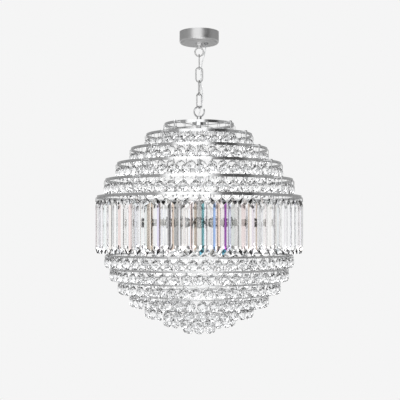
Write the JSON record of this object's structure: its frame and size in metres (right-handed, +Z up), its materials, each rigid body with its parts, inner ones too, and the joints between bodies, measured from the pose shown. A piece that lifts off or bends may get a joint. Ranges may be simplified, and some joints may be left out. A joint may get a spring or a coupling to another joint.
{
  "type": "orb chandelier",
  "caption": "Round chandelier of bead rings and a band of glass prisms about a lamp cluster, hung from a ceiling rose on a short chain with a clear flex.",
  "frame": {"origin": "middle of the ceiling rose's back, on the ceiling plane, midway between the two fixing holes", "axes": "+Z up into the ceiling, +X along the fixing bracket, -Y towards the viewer"},
  "size_m": [0.421, 0.421, 0.6125],
  "materials": {
    "chrome": "polished",
    "crystal": "clear cut glass",
    "frosted_glass": "frosted",
    "nickel": "polished nickel",
    "zinc_steel": "zinc plated",
    "white_plastic": "moulded",
    "brass_screw": "machined",
    "clear_bush": "translucent plastic",
    "lead_sleeve": "silicone sleeve",
    "clear_flex": "clear PVC over bright wires"
  },
  "bodies": {
    "ceiling_rose": {"rose_cup": "chrome", "rose_bracket": "zinc_steel", "rose_eye_bolt": "chrome", "rose_nuts": "chrome", "rose_flex_bush": "clear_bush", "terminal_block": "white_plastic", "terminal_screws": "brass_screw", "flex_length_1": "clear_flex"},
    "link_1": {"chain_link_1": "chrome", "flex_length_2": "clear_flex"},
    "link_2": {"chain_link_2": "chrome", "flex_length_3": "clear_flex"},
    "link_3": {"chain_link_3": "chrome", "flex_length_4": "clear_flex"},
    "link_4": {"chain_link_4": "chrome"},
    "orb": {"top_loop": "chrome", "top_spider": "chrome", "centre_stem": "chrome", "upper_ring_1": "chrome", "upper_ring_2": "chrome", "upper_ring_3": "chrome", "upper_ring_4": "chrome", "upper_ring_5": "chrome", "upper_ring_6": "chrome", "lower_ring_1": "chrome", "lower_ring_2": "chrome", "lower_ring_3": "chrome", "lower_ring_4": "chrome", "lower_ring_5": "chrome", "lower_ring_6": "chrome", "lower_ring_7": "chrome", "ring_struts": "chrome", "strut_cap_nuts": "chrome", "crystal_hooks": "chrome", "lamp_hub": "chrome", "lamp_arms": "chrome", "holder_rings": "chrome", "prisms": "crystal", "upper_beads_1": "crystal", "upper_beads_2": "crystal", "upper_beads_3": "crystal", "upper_beads_4": "crystal", "upper_beads_5": "crystal", "lower_beads_1": "crystal", "lower_beads_2": "crystal", "lower_beads_3": "crystal", "lower_beads_4": "crystal", "lower_beads_5": "crystal", "lower_beads_6": "crystal", "lower_beads_7": "crystal", "lamp_leads": "lead_sleeve", "lamp_holders": "nickel", "flex_length_5": "clear_flex"},
    "lamp_1": {"bulb_1": "frosted_glass"},
    "lamp_2": {"bulb_2": "frosted_glass"},
    "lamp_3": {"bulb_3": "frosted_glass"},
    "lamp_4": {"bulb_4": "frosted_glass"},
    "lamp_5": {"bulb_5": "frosted_glass"},
    "lamp_6": {"bulb_6": "frosted_glass"}
  },
  "joints": [
    {"name": "link_1_swing", "type": "hinge", "parent": "ceiling_rose", "child": "link_1", "pos_m": [0, 0, -0.049], "axis": [1, 0, 0], "range_deg": [-20, 20], "deforming": ["flex_length_1"]},
    {"name": "link_2_swing", "type": "hinge", "parent": "link_1", "child": "link_2", "pos_m": [0, 0, -0.0753], "axis": [0, 1, 0], "range_deg": [-20, 20], "deforming": ["flex_length_2"]},
    {"name": "link_3_swing", "type": "hinge", "parent": "link_2", "child": "link_3", "pos_m": [0, 0, -0.1018], "axis": [1, 0, 0], "range_deg": [-20, 20], "deforming": ["flex_length_3"]},
    {"name": "link_4_swing", "type": "hinge", "parent": "link_3", "child": "link_4", "pos_m": [0, 0, -0.1283], "axis": [-0.1392, 0.9903, 0], "range_deg": [-20, 20], "deforming": ["flex_length_4"]},
    {"name": "orb_swing", "type": "hinge", "parent": "link_4", "child": "orb", "pos_m": [0, 0, -0.1548], "axis": [0.7193, 0.6947, 0], "range_deg": [-20, 20], "deforming": ["flex_length_5"]},
    {"name": "lamp_1_pull", "type": "slide", "parent": "orb", "child": "lamp_1", "axis": [1, 0, 0], "range_m": [0, 0.012]},
    {"name": "lamp_2_pull", "type": "slide", "parent": "orb", "child": "lamp_2", "axis": [0.5, 0.866, 0], "range_m": [0, 0.012]},
    {"name": "lamp_3_pull", "type": "slide", "parent": "orb", "child": "lamp_3", "axis": [-0.5, 0.866, 0], "range_m": [0, 0.012]},
    {"name": "lamp_4_pull", "type": "slide", "parent": "orb", "child": "lamp_4", "axis": [-1, 0, 0], "range_m": [0, 0.012]},
    {"name": "lamp_5_pull", "type": "slide", "parent": "orb", "child": "lamp_5", "axis": [-0.5, -0.866, 0], "range_m": [0, 0.012]},
    {"name": "lamp_6_pull", "type": "slide", "parent": "orb", "child": "lamp_6", "axis": [0.5, -0.866, 0], "range_m": [0, 0.012]}
  ]
}
